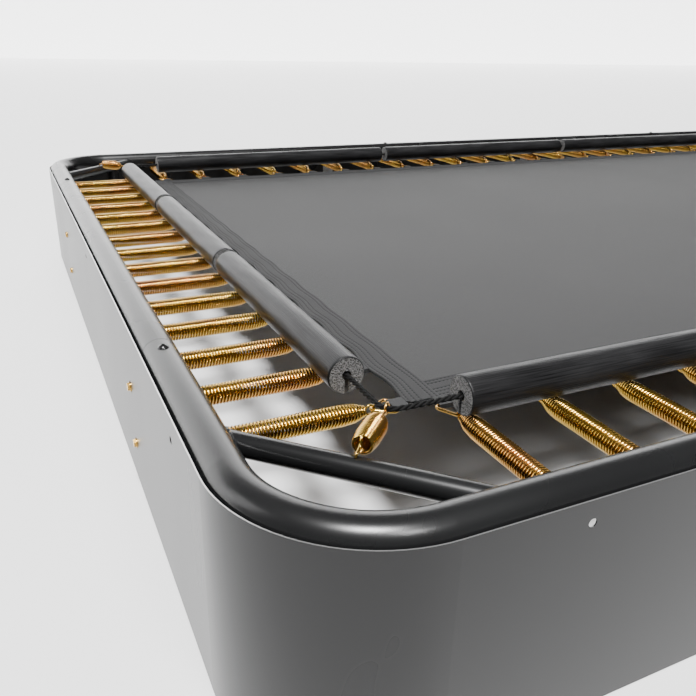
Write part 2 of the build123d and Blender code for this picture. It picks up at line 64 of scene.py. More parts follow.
class Level:
    """A number that varies over a surface; arithmetic on it adds Math nodes."""

    def __init__(self, shader: "Shader", socket: bpy.types.NodeSocket) -> None:
        """Wraps one output socket.

        Args:
            shader: the material being written.
            socket: the output that carries the number.
        """
        self.shader = shader
        self.socket = socket

    def math(self, operation: str, *others: "Level | float", swap: bool = False) -> "Level":
        """Adds one Math node.

        Args:
            operation: the node's operation.
            others: the further values.
            swap: True puts this level after the others.

        Returns:
            The result as a new level.
        """
        values = [self, *others]
        if swap:
            values.reverse()
        node = self.shader.node("ShaderNodeMath", {"operation": operation}, dict(enumerate(values)))
        return Level(self.shader, node.outputs[0])

    def __add__(self, other: "Level | float") -> "Level":
        """This level plus another."""
        return self.math("ADD", other)

    def __sub__(self, other: "Level | float") -> "Level":
        """This level minus another."""
        return self.math("SUBTRACT", other)

    def __rsub__(self, other: float) -> "Level":
        """A number minus this level."""
        return self.math("SUBTRACT", other, swap=True)

    def __mul__(self, other: "Level | float") -> "Level":
        """This level times another."""
        return self.math("MULTIPLY", other)

    def above(self, edge: float) -> "Level":
        """1 where this level is over the edge and 0 elsewhere."""
        return self.math("GREATER_THAN", edge)

    def wave(self, period: float) -> "Level":
        """A sine of this level, from 0 to 1, that repeats over the period."""
        return (self * (TAU / period)).math("SINE") * 0.5 + 0.5

    def ramp(self, low: float, high: float) -> "Level":
        """0 below low and 1 above high, with a straight slope between."""
        settings = {"clamp": True}
        inputs = {0: self, 1: low, 2: high, 3: 0.0, 4: 1.0}
        node = self.shader.node("ShaderNodeMapRange", settings, inputs)
        return Level(self.shader, node.outputs[0])


class Shader:
    """One material and the nodes in it."""

    def __init__(self, name: str) -> None:
        """Starts a material with a Principled shader.

        Args:
            name: the material's name.
        """
        self.material = bpy.data.materials.new(name)
        self.material.use_nodes = True
        self.tree = self.material.node_tree
        self.tree.nodes.clear()
        self.surface = self.node("ShaderNodeBsdfPrincipled")
        self.node("ShaderNodeOutputMaterial", {}, {"Surface": self.surface.outputs[0]})
        self.coords = self.node("ShaderNodeTexCoord")

    def node(self, kind: str, settings: dict | None = None, inputs: dict | None = None) -> bpy.types.Node:
        """Adds a node.

        Args:
            kind: the node's type.
            settings: its settings; "stops" holds a ramp's stops as (place, colour) pairs.
            inputs: what each input gets: a number, a colour, a level or an output socket.

        Returns:
            The new node.
        """
        node = self.tree.nodes.new(kind)
        for key, value in (settings or {}).items():
            if key == "stops":
                for _ in range(len(value) - len(node.color_ramp.elements)):
                    node.color_ramp.elements.new(0.5)
                for element, (place, colour) in zip(node.color_ramp.elements, value):
                    element.position = place
                    element.color = (*colour, 1.0)
            else:
                setattr(node, key, value)
        for key, value in (inputs or {}).items():
            if isinstance(value, Level):
                self.tree.links.new(value.socket, node.inputs[key])
            elif isinstance(value, bpy.types.NodeSocket):
                self.tree.links.new(value, node.inputs[key])
            else:
                node.inputs[key].default_value = value
        return node

    def place(self, scale: tuple = (1.0, 1.0, 1.0), source: str = "Object") -> bpy.types.NodeSocket:
        """The surface's coordinates, stretched by a scale on each axis."""
        inputs = {"Vector": self.coords.outputs[source], "Scale": scale}
        return self.node("ShaderNodeMapping", {}, inputs).outputs[0]

    def axis(self, name: str, source: str = "Object") -> Level:
        """One of the coordinates X, Y or Z."""
        split = self.node("ShaderNodeSeparateXYZ", {}, {0: self.coords.outputs[source]})
        return Level(self, split.outputs[name])

    def noise(
        self, scale: float, detail: float = 3.0, stretch: tuple = (1.0, 1.0, 1.0), source: str = "Object"
    ) -> Level:
        """Smooth noise from 0 to 1, with scale in features per metre."""
        inputs = {"Vector": self.place(stretch, source), "Scale": scale, "Detail": detail}
        return Level(self, self.node("ShaderNodeTexNoise", {}, inputs).outputs[0])

    def cells(self, scale: float) -> Level:
        """Distance to the nearest of scattered points, with scale in cells per metre."""
        inputs = {"Vector": self.place(), "Scale": scale}
        return Level(self, self.node("ShaderNodeTexVoronoi", {}, inputs).outputs[0])

    def blend(self, mask: Level, first: tuple, second: tuple) -> bpy.types.NodeSocket:
        """The first colour where the mask is 0 and the second where it is 1."""
        stops = [(0.0, first), (1.0, second)]
        return self.node("ShaderNodeValToRGB", {"stops": stops}, {0: mask}).outputs[0]

    def bump(self, height: Level, depth: float, strength: float = 1.0) -> bpy.types.NodeSocket:
        """A normal from a height, with depth in metres."""
        inputs = {"Height": height, "Distance": depth, "Strength": strength}
        return self.node("ShaderNodeBump", {}, inputs).outputs[0]

    def set(self, **values: object) -> bpy.types.Material:
        """Sets the surface's sockets, where an underscore in a name stands for a space.

        Args:
            values: a socket's name with its number, colour, level or output socket.

        Returns:
            The finished material.
        """
        for key, value in values.items():
            name = key.replace("_", " ")
            if isinstance(value, Level):
                value = value.socket
            if isinstance(value, bpy.types.NodeSocket):
                self.tree.links.new(value, self.surface.inputs[name])
            else:
                self.surface.inputs[name].default_value = value
        return self.material


def grey(level: float, tint: tuple = (1.0, 1.0, 1.0)) -> tuple:
    """A grey with a slight tint, as a colour."""
    return (level * tint[0], level * tint[1], level * tint[2])


# ---- finishes ---------------------------------------------------------------------------


@dataclass(frozen=True)
class PowderCoat:
    """Powder coat with a fine orange peel and a little uneven sheen."""

    name: str
    colour: tuple
    lighter: tuple
    roughness: float = 0.27
    peel: float = 0.00004

    def build(self) -> bpy.types.Material:
        """Makes the material."""
        shader = Shader(self.name)
        patches = shader.noise(6.0)
        peel = shader.noise(900.0, 2.0)
        return shader.set(
            Base_Color=shader.blend(patches, self.colour, self.lighter),
            Roughness=patches * 0.1 + (self.roughness - 0.05),
            Specular_IOR_Level=0.4,
            Normal=shader.bump(peel, self.peel),
        )


@dataclass(frozen=True)
class CoatedSheet:
    """Satin coated sheet whose cut edge on top is bright bare metal."""

    name: str = "coated_sheet"
    colour: tuple = (0.012, 0.012, 0.0122)
    lighter: tuple = (0.018, 0.018, 0.0183)
    edge: tuple = (0.72, 0.72, 0.72)

    def build(self) -> bpy.types.Material:
        """Makes the material; the edge is where the face points straight up."""
        shader = Shader(self.name)
        patches = shader.noise(2.5, 4.0, (1.0, 1.0, 0.35))
        grain = shader.noise(700.0, 2.0)
        split = shader.node("ShaderNodeSeparateXYZ", {}, {0: shader.coords.outputs["Normal"]})
        top = Level(shader, split.outputs["Z"]).above(0.9)
        paint = shader.blend(patches, self.colour, self.lighter)
        inputs = {"Factor": top, 6: paint, 7: (*self.edge, 1.0)}
        base = shader.node("ShaderNodeMix", {"data_type": "RGBA"}, inputs).outputs[2]
        return shader.set(
            Base_Color=base,
            Roughness=patches * 0.1 + 0.24,
            Metallic=top * 0.9,
            IOR=1.29,
            Normal=shader.bump(grain, 0.00003),
        )


@dataclass(frozen=True)
class BareSteel:
    """Plain steel with a faint rolled grain."""

    name: str
    colour: tuple
    lighter: tuple
    roughness: float = 0.34
    grain: float = 0.00003

    def build(self) -> bpy.types.Material:
        """Makes the material."""
        shader = Shader(self.name)
        patches = shader.noise(40.0, 4.0)
        grain = shader.noise(1500.0, 2.0)
        return shader.set(
            Base_Color=shader.blend(patches, self.colour, self.lighter),
            Roughness=patches * 0.16 + (self.roughness - 0.08),
            Metallic=1.0,
            Normal=shader.bump(grain, self.grain),
        )


@dataclass(frozen=True)
class YellowZinc:
    """Yellow passivated zinc, from straw to copper, with a faint haze."""

    name: str = "yellow_zinc_wire"
    straw: tuple = (0.62, 0.40, 0.075)
    copper: tuple = (0.58, 0.27, 0.085)

    def build(self) -> bpy.types.Material:
        """Makes the material."""
        shader = Shader(self.name)
        drift = shader.noise(9.0, 2.0)
        fleck = shader.noise(160.0, 3.0)
        mask = (drift * 0.9 + fleck * 0.15).ramp(0.42, 0.72)
        return shader.set(
            Base_Color=shader.blend(mask, self.straw, self.copper),
            Roughness=fleck * 0.1 + 0.14,
            Metallic=1.0,
            Normal=shader.bump(shader.noise(2200.0, 1.0), 0.000004),
        )


@dataclass(frozen=True)
class WovenMesh:
    """Close plain weave of flat yarns: over and under on both axes."""

    name: str = "woven_bed"
    yarn: float = 0.0016
    dark: tuple = (0.006, 0.006, 0.0062)
    light: tuple = (0.034, 0.034, 0.0345)

    def build(self) -> bpy.types.Material:
        """Makes the material; the height is the sum of two crossed waves in step."""
        shader = Shader(self.name)
        across = shader.axis("X").wave(self.yarn)
        along = shader.axis("Y").wave(self.yarn)
        weave = across * along + (1.0 - across) * (1.0 - along)
        wear = shader.noise(3.0, 4.0)
        fibre = shader.noise(900.0, 2.0)
        mask = (weave * 0.42 + wear * 0.28 + fibre * 0.42).ramp(0.15, 0.95)
        return shader.set(
            Base_Color=shader.blend(mask, self.dark, self.light),
            Roughness=wear * 0.12 + 0.56,
            Specular_IOR_Level=0.22,
            Normal=shader.bump(weave, 0.0003, 0.55),
        )


@dataclass(frozen=True)
class StitchedWebbing:
    """Ribbed webbing; where it carries rows of stitches they follow the piece's own map."""

    name: str
    stitched: bool
    rib: float = 0.0022
    dark: tuple = (0.006, 0.006, 0.0062)
    light: tuple = (0.055, 0.055, 0.056)

    def build(self) -> bpy.types.Material:
        """Makes the material; each row of stitches darkens its groove with painted shade, and a stitch is a
        bright dash where that painted shade is darkest.
        """
        shader = Shader(self.name)
        fibre = shader.noise(1300.0, 2.0)
        if self.stitched:
            along = shader.axis("X", "UV")
            ribs = along.wave(self.rib)
            depth = shader.axis("Y", "UV")
            dash = along.wave(0.0065).above(0.35)
            rows = None
            for row in BedBorder.rows:
                gap = (depth - row).math("ABSOLUTE")
                near = 1.0 - gap.ramp(0.0007, 0.0021)
                rows = near if rows is None else rows.math("MAXIMUM", near)
            # painted shade: the tone is darkened by up to 92 per cent along each sewn groove
            tone = (ribs * 0.35 + fibre * 0.5).ramp(0.1, 0.9) * (1.0 - rows * 0.92)
            thread = rows * dash * 0.4
            tone = tone + thread
            height = ribs * 0.5 - rows + thread * 1.2
        else:
            ribs = shader.axis("X").wave(self.rib) * 0.5 + shader.axis("Y").wave(self.rib) * 0.5
            tone = (ribs * 0.5 + fibre * 0.5).ramp(0.1, 0.9)
            height = ribs
        return shader.set(
            Base_Color=shader.blend(tone, self.dark, self.light),
            Roughness=fibre * 0.15 + 0.65,
            Specular_IOR_Level=0.14,
            Normal=shader.bump(height, 0.0004, 0.7),
        )


@dataclass(frozen=True)
class FoamFilm:
    """Thin glossy film stretched over foam, with fine lines along the tube."""

    name: str = "foam_film"
    dark: tuple = (0.002, 0.002, 0.0022)
    light: tuple = (0.026, 0.026, 0.027)

    def build(self) -> bpy.types.Material:
        """Makes the material; the lines are noise stretched along the tube's own map."""
        shader = Shader(self.name)
        lines = shader.noise(620.0, 4.0, (0.02, 1.0, 1.0), "UV")
        creases = shader.noise(28.0, 3.0, (0.3, 1.0, 1.0), "UV")
        mask = (lines * 0.6 + creases * 0.5).ramp(0.35, 0.8)
        height = lines * 0.55 + creases
        return shader.set(
            Base_Color=shader.blend(mask, self.dark, self.light),
            Roughness=lines * 0.25 + 0.22,
            Specular_IOR_Level=0.1,
            Coat_Weight=0.04,
            Coat_Roughness=0.15,
            Normal=shader.bump(height, 0.0013, 0.7),
        )


@dataclass(frozen=True)
class CutFoam:
    """The cut face of closed cell foam: pale walls round dark cells."""

    name: str = "cut_foam"
    cell: float = 520.0

    def build(self) -> bpy.types.Material:
        """Makes the material; a cell is dark in its middle and pale at its wall."""
        shader = Shader(self.name)
        cells = shader.cells(self.cell)
        fleck = shader.noise(900.0, 2.0)
        mask = (cells * 1.1 + fleck * 0.5).ramp(0.45, 1.0)
        return shader.set(
            Base_Color=shader.blend(mask, grey(0.004), grey(0.17)),
            Roughness=0.85,
            Normal=shader.bump(cells, 0.0012, 0.9),
        )


@dataclass(frozen=True)
class RopeYarn:
    """Twisted rope yarn with fine slanted filaments."""

    name: str = "rope_yarn"

    def build(self) -> bpy.types.Material:
        """Makes the material; filaments are a wave across the strand's own map."""
        shader = Shader(self.name)
        slant = shader.axis("X", "UV") * 0.6 + shader.axis("Y", "UV")
        filament = slant.wave(0.0011)
        fuzz = shader.noise(1500.0, 2.0)
        tone = (filament * 0.5 + fuzz * 0.6).ramp(0.2, 0.95)
        return shader.set(
            Base_Color=shader.blend(tone, grey(0.002), grey(0.012)),
            Roughness=fuzz * 0.2 + 0.6,
            Specular_IOR_Level=0.15,
            Normal=shader.bump(filament + fuzz * 0.5, 0.0003, 0.6),
        )


class Coat(Enum):
    """The finishes, each made once and shared by every piece that has it."""

    RAIL = PowderCoat("rail_powder_coat", grey(0.006, (0.98, 1.0, 1.03)), grey(0.010, (0.98, 1.0, 1.03)))
    SHEET = CoatedSheet()
    STEEL = BareSteel("bare_steel", grey(0.22), grey(0.34))
    SCREW = PowderCoat("black_screw", grey(0.008), grey(0.016), 0.16, 0.00001)
    BOLT = BareSteel("yellow_zinc_bolts", (0.58, 0.34, 0.08), (0.72, 0.46, 0.12), 0.25)
    WIRE = YellowZinc()
    BED = WovenMesh()
    BORDER = StitchedWebbing("stitched_border", True)
    TAB = StitchedWebbing("webbing_tabs", False)
    FILM = FoamFilm()
    CUT = CutFoam()
    ROPE = RopeYarn()

    def material(self) -> bpy.types.Material:
        """The finish's material, made when it is first asked for."""
        return bpy.data.materials.get(self.value.name) or self.value.build()


# ---- meshes -----------------------------------------------------------------------------


def grid_quads(rows: int, columns: int, around: bool = False) -> np.ndarray:
    """The faces of a grid of points.

    Args:
        rows: how many points along the first parameter.
        columns: how many along the second.
        around: True joins the last column to the first.

    Returns:
        One row of four point numbers for each face.
    """
    last = columns if around else columns - 1
    row, column = np.meshgrid(np.arange(rows - 1), np.arange(last), indexing="ij")
    here = (row * columns + column).ravel()
    aside = (row * columns + (column + 1) % columns).ravel()
    return np.stack([here, aside, aside + columns, here + columns], axis=1)


@dataclass
class Surface:
    """A mesh in the making: arrays of points, faces, map places and finish numbers."""

    points: list = field(default_factory=list)
    faces: list = field(default_factory=list)
    maps: list = field(default_factory=list)
    slots: list = field(default_factory=list)
    count: int = 0

    def add_grid(
        self, points: np.ndarray, around: bool = False, slot: int = 0, places: np.ndarray | None = None
    ) -> None:
        """Adds a grid surface.

        Args:
            points: rows by columns by three.
            around: True joins the last column to the first.
            slot: the number of the finish.
            places: rows by columns by two for the map, or None.
        """
        rows, columns = points.shape[:2]
        quads = grid_quads(rows, columns, around)
        if places is None:
            places = np.zeros((rows, columns, 2))
        self.points.append(points.reshape(-1, 3))
        self.faces.extend((quads + self.count).tolist())
        self.maps.append(places.reshape(-1, 2))
        self.slots.extend([slot] * len(quads))
        self.count += rows * columns

    def add_tube(self, ring: np.ndarray) -> None:
        """Adds a tube of rings of points, with both its ends closed.

        Args:
            ring: rings by points by three.
        """
        start = self.count
        self.add_grid(ring, True)
        sides = ring.shape[1]
        self.faces.append([start + i for i in range(sides)][::-1])
        self.faces.append([self.count - sides + i for i in range(sides)])
        self.slots.extend([0, 0])

    def repeat(self, frames: np.ndarray) -> "Surface":
        """Copies the whole surface to several places.

        Args:
            frames: one 4 by 4 matrix for each place.

        Returns:
            A surface that holds all the copies.
        """
        base = np.concatenate(self.points)
        padded = np.concatenate([base, np.ones((len(base), 1))], axis=1)
        moved = np.einsum("fij,vj->fvi", frames, padded)[..., :3]
        copies = Surface([moved.reshape(-1, 3)], [], [np.tile(np.concatenate(self.maps), (len(frames), 1))])
        for i in range(len(frames)):
            shift = i * len(base)
            copies.faces.extend([[corner + shift for corner in face] for face in self.faces])
        copies.slots = self.slots * len(frames)
        copies.count = len(base) * len(frames)
        return copies

    def build(self, name: str, *coats: Coat, smooth: bool = True) -> bpy.types.Object:
        """Makes the Blender object.

        Args:
            name: the piece's name.
            coats: its finishes in the order of their numbers.
            smooth: True shades it smooth.

        Returns:
            The object, at the origin.
        """
        mesh = bpy.data.meshes.new(name)
        mesh.from_pydata(np.concatenate(self.points).tolist(), [], self.faces)
        corners = np.zeros(len(mesh.loops), np.int32)
        mesh.loops.foreach_get("vertex_index", corners)
        layer = mesh.uv_layers.new(name="map")
        layer.data.foreach_set("uv", np.concatenate(self.maps)[corners].ravel())
        mesh.polygons.foreach_set("material_index", np.array(self.slots, np.int32))
        mesh.polygons.foreach_set("use_smooth", np.full(len(mesh.polygons), smooth))
        for coat in coats:
            mesh.materials.append(coat.material())
        mesh.validate()
        mesh.update()
        piece = bpy.data.objects.new(name, mesh)
        bpy.context.scene.collection.objects.link(piece)
        LOG.info("%s: %d faces", name, len(mesh.polygons))
        return piece


def unit(vectors: np.ndarray) -> np.ndarray:
    """Vectors scaled to length 1."""
    return vectors / np.linalg.norm(vectors, axis=-1, keepdims=True)


def circles(side: np.ndarray, across: np.ndarray, sides: int) -> np.ndarray:
    """Unit circles of directions, turned from one direction towards another.

    Args:
        side: the first direction at each place.
        across: the second direction at each place.
        sides: how many directions a circle has.

    Returns:
        Places by sides by three.
    """
    angle = np.linspace(0.0, TAU, sides, endpoint=False)
    return side[:, None] * np.cos(angle)[None, :, None] + across[:, None] * np.sin(angle)[None, :, None]


def rings_along(path: np.ndarray, side: np.ndarray, radius: np.ndarray | float, sides: int) -> np.ndarray:
    """Circles of points round a path: centre plus radius times side and binormal turned by an angle.

    Args:
        path: the points of the path.
        side: a direction across the path at each point.
        radius: one radius, or one for each point.
        sides: how many points a circle has.

    Returns:
        Points of the path by sides by three.
    """
    tangent = unit(np.gradient(path, axis=0))
    side = unit(side - tangent * np.sum(side * tangent, axis=1, keepdims=True))
    across = np.cross(tangent, side)
    reach = np.broadcast_to(np.asarray(radius, float), (len(path),))[:, None, None]
    return path[:, None] + reach * circles(side, across, sides)


def rounded(corners: np.ndarray, rounds: int = 3) -> np.ndarray:
    """Cuts the corners of an open run again and again, a quarter of each leg at a time.

    Args:
        corners: the run's points.
        rounds: how many times to cut.

    Returns:
        The rounded run, with the same ends.
    """
    run = corners
    for _ in range(rounds):
        before, after = run[:-1], run[1:]
        cut = np.stack([0.75 * before + 0.25 * after, 0.25 * before + 0.75 * after], axis=1)
        run = np.concatenate([run[:1], cut.reshape(-1, 3), run[-1:]])
    return run


# ---- the frame's own sizes ----------------------------------------------------------------


@dataclass
class Layout:
    """Where the rails' centre lines and the springs are."""

    rail_x: float = 1.975
    rail_y: float = 1.100
    rail_z: float = 0.275
    spring_z: float = 0.247
    end_first: float = 0.276
    end_count: int = 15
    side_first: float = 0.3175
    side_count: int = 27

    def end_places(self) -> np.ndarray:
        """The springs' places along Y on the short ends."""
        reach = self.rail_y - self.end_first
        return np.linspace(-reach, reach, self.end_count)

    def side_places(self) -> np.ndarray:
        """The springs' places along X on the long sides."""
        reach = self.rail_x - self.side_first
        return np.linspace(-reach, reach, self.side_count)


class Side(Enum):
    """The four sides; the value is the direction from the rail inwards."""

    LEFT = (1, 0)
    RIGHT = (-1, 0)
    FRONT = (0, 1)
    BACK = (0, -1)

    def is_end(self) -> bool:
        """True on a short end."""
        return self.value[0] != 0

    def frames(self, layout: Layout, height: float) -> np.ndarray:
        """A 4 by 4 matrix at each spring: X inwards, Z up, origin on the rail's centre line.

        Args:
            layout: the frame's sizes.
            height: the height of the origin.

        Returns:
            The matrices of the side's springs.
        """
        places = layout.end_places() if self.is_end() else layout.side_places()
        inward = np.array([*self.value, 0.0])
        aside = np.array([-inward[1], inward[0], 0.0])
        frames = np.tile(np.eye(4), (len(places), 1, 1))
        frames[:, :3, 0] = inward
        frames[:, :3, 1] = aside
        along = np.abs(aside)
        origin = -inward * np.array([layout.rail_x, layout.rail_y, 0.0])
        frames[:, :3, 3] = origin + places[:, None] * along + np.array([0.0, 0.0, height])
        return frames


# ---- springs --------------------------------------------------------------------------------


@dataclass
class Coil:
    """A close-wound spring along X: hook, coil and end loop, as wire tubes."""

    start: float = 0.031
    end: float = 0.212
    turns: float = 40.5
    steps: int = 11
    wire: float = 0.0017
    profile: tuple = ((0.031, 0.0128), (0.180, 0.0128), (0.196, 0.0112), (0.212, 0.0053))
    loop: float = 0.0065
    hook_tip: float = 0.0135
    neck: float = 0.0
    swell: float = 0.0003

    def surface(self) -> Surface:
        """Winds the wire.

        The coil's centre line runs straight along X while it turns at a radius that is read from
        the profile. It is drawn a little thicker than its wire, so that the turns nearly touch.
        The hook crosses the mouth, runs to the origin and turns into its hole. The loop is a full
        circle in the upright plane, on a straight neck where the spring has one.

        Returns:
            The spring's surface.
        """
        spring = Surface()
        share = np.linspace(0.0, 1.0, int(self.turns * self.steps))
        along = self.start + self.wire + share * (self.end - self.start - self.wire)
        places, radii = np.array(self.profile).T
        radius = np.interp(along, places, radii)
        angle = share * self.turns * TAU
        outward = np.stack([np.zeros_like(angle), np.sin(angle), np.cos(angle)], axis=1)
        path = outward * radius[:, None]
        path[:, 0] = along
        path -= outward * self.swell
        spring.add_tube(rings_along(path, outward, self.wire + self.swell, 6))

        top = self.profile[0][1]
        down = math.copysign(1.0, self.hook_tip)
        corners = np.array(
            [
                (self.start + 0.004, 0.0, top),
                (self.start - 0.001, 0.0, top),
                (self.start - 0.004, 0.0, top * 0.2),
                (self.start - 0.010, 0.0, 0.0),
                (0.004, 0.0, 0.0),
                (0.0, 0.0, 0.001 * down),
                (0.0, 0.0, self.hook_tip),
            ]
        )
        hook = rounded(corners)
        across = np.tile([0.0, 1.0, 0.0], (len(hook), 1))
        spring.add_tube(rings_along(hook, across, self.wire, 8))

        if self.neck > 0.0:
            tip, eye = (self.end + 0.003, 0.0, 0.0), (self.end + self.neck, 0.0, 0.0)
            swung = rounded(np.array([path[-1], tip, eye]))
            across = np.tile([0.0, 1.0, 0.0], (len(swung), 1))
            spring.add_tube(rings_along(swung, across, self.wire, 8))

        turn = np.linspace(0.0, TAU, 29)[:-1] + math.pi
        centre = self.end + self.neck + self.loop
        zero = np.zeros_like(turn)
        circle = np.stack([centre + self.loop * np.cos(turn), zero, self.loop * np.sin(turn)], axis=1)
        spoke = unit(circle - np.array([centre, 0.0, 0.0]))
        across = np.tile([0.0, 1.0, 0.0], (len(circle), 1))
        ring = circle[:, None] + self.wire * circles(spoke, across, 8)
        spring.add_grid(np.concatenate([ring, ring[:1]]), True)
        return spring


@dataclass
class Springs:
    """The springs along the four sides and at the corners."""

    layout: Layout
    coil: Coil = field(default_factory=Coil)
    brace_reach: float = 0.255
    foam_height: float = 0.2885
    corner_start: float = 0.017
    corner_end: float = 0.0816

    def build(self) -> None:
        """Makes one piece for each side and one for the corners."""
        wire = self.coil.surface()
        for side in Side:
            name = side.name.lower()
            kind = "end" if side.is_end() else "side"
            frames = side.frames(self.layout, self.layout.spring_z)
            piece = wire.repeat(frames).build(f"{kind}_coils_{name}", Coat.WIRE)
            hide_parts(f"{kind}_springs_{name}")
            middle = frames[len(frames) // 2]
            points = [middle[:3, 3] + middle[:3, 0] * reach for reach in (0.012, 0.214)]
            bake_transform(piece)
        corners = self.corner_coil().surface().repeat(self.corner_frames())
        piece = corners.build("corner_coils", Coat.WIRE)
        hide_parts("corner_springs")
        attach(piece, "frame")

    def corner_coil(self) -> Coil:
        """The short barrel spring that pulls the rope towards the brace."""
        start, end, full = self.corner_start, self.corner_end, 0.0128
        swelling = ((start, 0.0103), (start + 0.020, full), (end - 0.020, full))
        closing = ((end - 0.007, 0.0096), (end, 0.0028))
        return Coil(
            start=start,
            end=end,
            turns=17.5,
            steps=16,
            profile=swelling + closing,
            hook_tip=-0.0115,
            neck=0.018,
        )

    def corner_frames(self) -> np.ndarray:
        """A matrix at each brace's middle with X towards the bed's middle."""
        frames = np.tile(np.eye(4), (4, 1, 1))
        for i, (sign_x, sign_y) in enumerate(((1, 1), (-1, 1), (-1, -1), (1, -1))):
            inward = np.array([sign_x, sign_y, 0.0]) / math.sqrt(2.0)
            frames[i, :3, 0] = inward
            frames[i, :3, 1] = (-inward[1], inward[0], 0.0)
            frames[i, 0, 3] = -sign_x * (self.layout.rail_x - self.brace_reach / 2)
            frames[i, 1, 3] = -sign_y * (self.layout.rail_y - self.brace_reach / 2)
            frames[i, 2, 3] = self.foam_height
        return frames


# ---- jumping bed and its border ---------------------------------------------------------------


@dataclass
class Bed:
    """The woven bed: a stretched sheet whose edge draws in a little between the tabs."""

    layout: Layout
    half_x: float = 1.705
    half_y: float = 0.830
    top: float = 0.248
    thickness: float = 0.002
    cut: float = 0.006
    draw: float = 0.0060
    fade: float = 0.05

    def pull(self, along: np.ndarray, places: np.ndarray, depth: np.ndarray) -> np.ndarray:
        """How far a point is drawn in: a raised cosine between tabs that fades with depth.

        Args:
            along: the place along the side.
            places: the tabs' places on that side.
            depth: the distance from the edge.

        Returns:
            The inward shift in metres.
        """
        pitch = places[1] - places[0]
        phase = (along - places[0]) / pitch
        inside = (along > places[0]) & (along < places[-1])
        swing = np.where(inside, 0.5 - 0.5 * np.cos(TAU * phase), 0.0)
        return self.draw * swing * np.exp(-depth / self.fade)

    def shaped(self, x: np.ndarray, y: np.ndarray) -> tuple[np.ndarray, np.ndarray]:
        """Moves flat points in from the edges between the tabs.

        Args:
            x: places along the long side.
            y: places along the short side.

        Returns:
            The moved x and y.
        """
        from_end = self.half_x - np.abs(x)
        from_side = self.half_y - np.abs(y)
        shift_x = self.pull(y, self.layout.end_places(), from_end)
        shift_y = self.pull(x, self.layout.side_places(), from_side)
        return x - np.sign(x) * shift_x, y - np.sign(y) * shift_y

    @staticmethod
    def spaced(margin: float, count: int) -> np.ndarray:
        """Places from -1 to 1: even ones in the middle and six closer ones in each margin.

        Args:
            margin: where the outer margin starts.
            count: how many places the middle has.

        Returns:
            The places in rising order.
        """
        outer = np.linspace(margin, 1.0, 6)
        return np.concatenate([-outer[::-1], np.linspace(0.01 - margin, margin - 0.01, count), outer])

    def build(self) -> bpy.types.Object:
        """Makes the sheet: a grid, closer near the edges, with both faces and a rim."""
        u = self.spaced(0.94, 209)
        v = self.spaced(0.88, 109)
        x, y = np.meshgrid(u * self.half_x, v * self.half_y, indexing="ij")
        over = np.maximum(np.abs(x) + np.abs(y) - (self.half_x + self.half_y - self.cut), 0.0) / 2.0
        x = x - np.sign(x) * over
        y = y - np.sign(y) * over
        x, y = self.shaped(x, y)
        top = np.stack([x, y, np.full_like(x, self.top)], axis=-1)
        low = top - np.array([0.0, 0.0, self.thickness])
        sheet = Surface()
        sheet.add_grid(top)
        sheet.add_grid(low[::-1])
        rim = [top[:-1, 0], top[-1, :-1], top[:0:-1, -1], top[0, :0:-1]]
        upper = np.concatenate(rim)
        lower = upper - np.array([0.0, 0.0, self.thickness])
        sheet.add_grid(np.stack([lower, upper]), True)
        piece = sheet.build("woven_bed", Coat.BED)
        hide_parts("bed")
        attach(piece, "bed")
        return piece


@dataclass
class BedBorder:
    """Webbing sewn round the bed's edge with rows of stitches, each in its own shallow groove."""

    rows = (0.005, 0.0135, 0.0215, 0.0375, 0.0445)
    bed: Bed
    width: float = 0.050
    thickness: float = 0.0016
    groove: float = 0.0009

    def build(self) -> bpy.types.Object:
        """Makes the four strips with rolled edges; those of the ends lie over those of the sides."""
        border = Surface()
        for side in Side:
            self.add_strip(border, side)
        piece = border.build("stitched_border", Coat.BORDER)
        nodes = ("end_border_left", "end_border_right", "side_border_front", "side_border_back")
        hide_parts(*nodes)
        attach(piece, "bed")
        return piece

    def add_strip(self, border: Surface, side: Side) -> None:
        """Adds one side's strip.

        The height across the strip is its thickness, rolled down at both edges, less a bell at
        each row of stitches. Strips of the ends run out to the cut corners and the others stop under them.

        Args:
            border: the surface that takes the strip.
            side: which side it is on.
        """
        bed = self.bed
        inner = np.linspace(0.0014, self.width - 0.0008, 56)
        depth = np.concatenate([[0.0, 0.0, 0.0006], inner, [self.width]])
        height = np.full_like(depth, self.thickness)
        for row in self.rows:
            height -= self.groove * np.exp(-(((depth - row) / 0.0012) ** 2))
        height[0], height[1], height[2], height[-1] = -0.0005, 0.0009, 0.0014, 0.0002
        if side.is_end():
            limit = bed.half_y - np.maximum(bed.cut - depth, 0.0003)
            height = height + 0.0005
        else:
            limit = np.full_like(depth, bed.half_x - self.width + 0.003)
        count = 180 if side.is_end() else 360
        share = np.linspace(-1.0, 1.0, count)
        along = share[:, None] * limit[None, :]
        inset = np.broadcast_to(depth, along.shape)
        inward_x, inward_y = side.value
        if side.is_end():
            x, y = -inward_x * (bed.half_x - inset), along
        else:
            x, y = along, -inward_y * (bed.half_y - inset)
        x, y = bed.shaped(x, y)
        ripple = 0.0003 * np.sin(along * 47.0) * np.sin(inset * 90.0)
        z = bed.top + np.broadcast_to(height, along.shape) + ripple
        points = np.stack([x, y, z], axis=-1)
        if side in (Side.LEFT, Side.BACK):
            points, along, inset = points[::-1], along[::-1], inset[::-1]
        border.add_grid(points, places=np.stack([along, inset], axis=-1))


# ---- foam tubes and their rope ------------------------------------------------------------------


